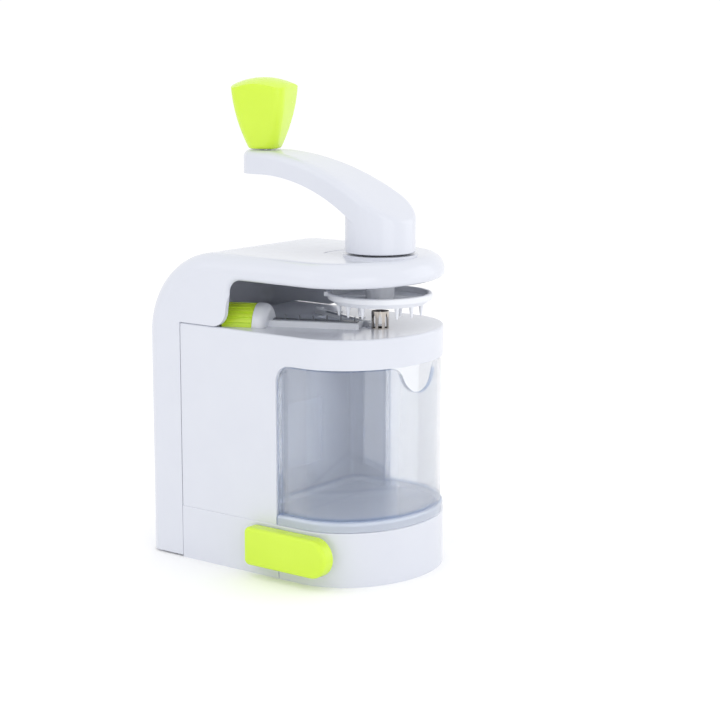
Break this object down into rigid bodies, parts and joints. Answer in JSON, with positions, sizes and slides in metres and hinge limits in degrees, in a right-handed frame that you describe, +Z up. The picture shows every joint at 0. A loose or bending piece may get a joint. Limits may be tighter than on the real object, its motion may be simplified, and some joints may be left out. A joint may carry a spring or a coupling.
{
  "type": "spiral slicer",
  "caption": "Hand-cranked upright spiral slicer with a lifting arm, turning food holder, dial-selected combs, clear catch drawer and a lever-worked suction foot.",
  "frame": {"origin": "on the underside, on the mid-plane and halfway along the footprint, where the machine stands on z = 0", "axes": "+Z up, +X towards the rounded front with the clear container, +Y away from the suction lever"},
  "size_m": [0.145, 0.105, 0.25],
  "materials": {
    "white_abs": "glossy moulded",
    "lime_abs": "satin gloss moulded",
    "natural_acetal": "matt moulded",
    "clear_styrene": "clear polished moulding",
    "blade_steel": "ground stainless",
    "zinc_steel": "bright plated",
    "grey_rubber": "soft matt"
  },
  "bodies": {
    "base": {"base_housing": "white_abs", "bottom_plate": "white_abs", "bottom_screws": "zinc_steel", "grip_pads": "grey_rubber", "housing_screws": "zinc_steel", "main_housing": "white_abs", "corer": "blade_steel", "blade_holder": "white_abs", "straight_blade": "blade_steel", "blade_rivets": "zinc_steel", "detent_spring": "blade_steel", "guide_channel": "white_abs", "guide_rods": "zinc_steel", "channel_screws": "zinc_steel"},
    "lever": {"suction_lever": "lime_abs", "lever_shaft": "natural_acetal", "lever_clip": "zinc_steel"},
    "cup": {"cup_yoke": "natural_acetal", "suction_cup": "grey_rubber"},
    "drum": {"blade_drum": "white_abs", "drum_flange": "white_abs", "selector_dial": "lime_abs", "comb_coarse": "blade_steel", "comb_medium": "blade_steel", "comb_fine": "blade_steel"},
    "drawer": {"container": "clear_styrene"},
    "arm": {"arm_shell": "white_abs", "head_cover": "white_abs", "cover_screws": "zinc_steel", "slider_block": "natural_acetal", "slider_screws": "zinc_steel", "shaft_bushing": "natural_acetal"},
    "crank": {"crank_arm": "white_abs", "crank_shaft": "zinc_steel", "shaft_clip": "zinc_steel", "food_holder": "white_abs", "holder_screw": "zinc_steel", "knob_axle": "zinc_steel", "knob_clip": "zinc_steel"},
    "grip": {"knob": "lime_abs", "knob_cap": "lime_abs"}
  },
  "joints": [
    {"name": "arm_lift", "type": "slide", "parent": "base", "child": "arm", "axis": [0, 0, 1], "range_m": [0, 0.095]},
    {"name": "crank_turn", "type": "hinge", "parent": "arm", "child": "crank", "pos_m": [0.0455, 0, 0.16], "axis": [0, 0, 1], "continuous": true},
    {"name": "grip_spin", "type": "hinge", "parent": "crank", "child": "grip", "pos_m": [-0.03, 0, 0.22], "axis": [0, 0, 1], "continuous": true},
    {"name": "dial_turn", "type": "hinge", "parent": "base", "child": "drum", "pos_m": [0.0455, 0, 0.123], "axis": [-0.9135, -0.4067, 0], "continuous": true},
    {"name": "drawer_slide", "type": "slide", "parent": "base", "child": "drawer", "axis": [1, 0, 0], "range_m": [0, 0.085]},
    {"name": "lever_turn", "type": "hinge", "parent": "base", "child": "lever", "pos_m": [0.0435, -0.05, 0.0163], "axis": [0, 1, 0], "range_deg": [0, 90]},
    {"name": "cup_lift", "type": "slide", "parent": "base", "child": "cup", "axis": [0, 0, 1], "range_m": [0, 0.0025], "deforming": ["suction_cup"]}
  ],
  "couplings": [
    {"joint": "cup_lift", "follows": "lever_turn", "m_per_rad": 0.0015915}
  ]
}
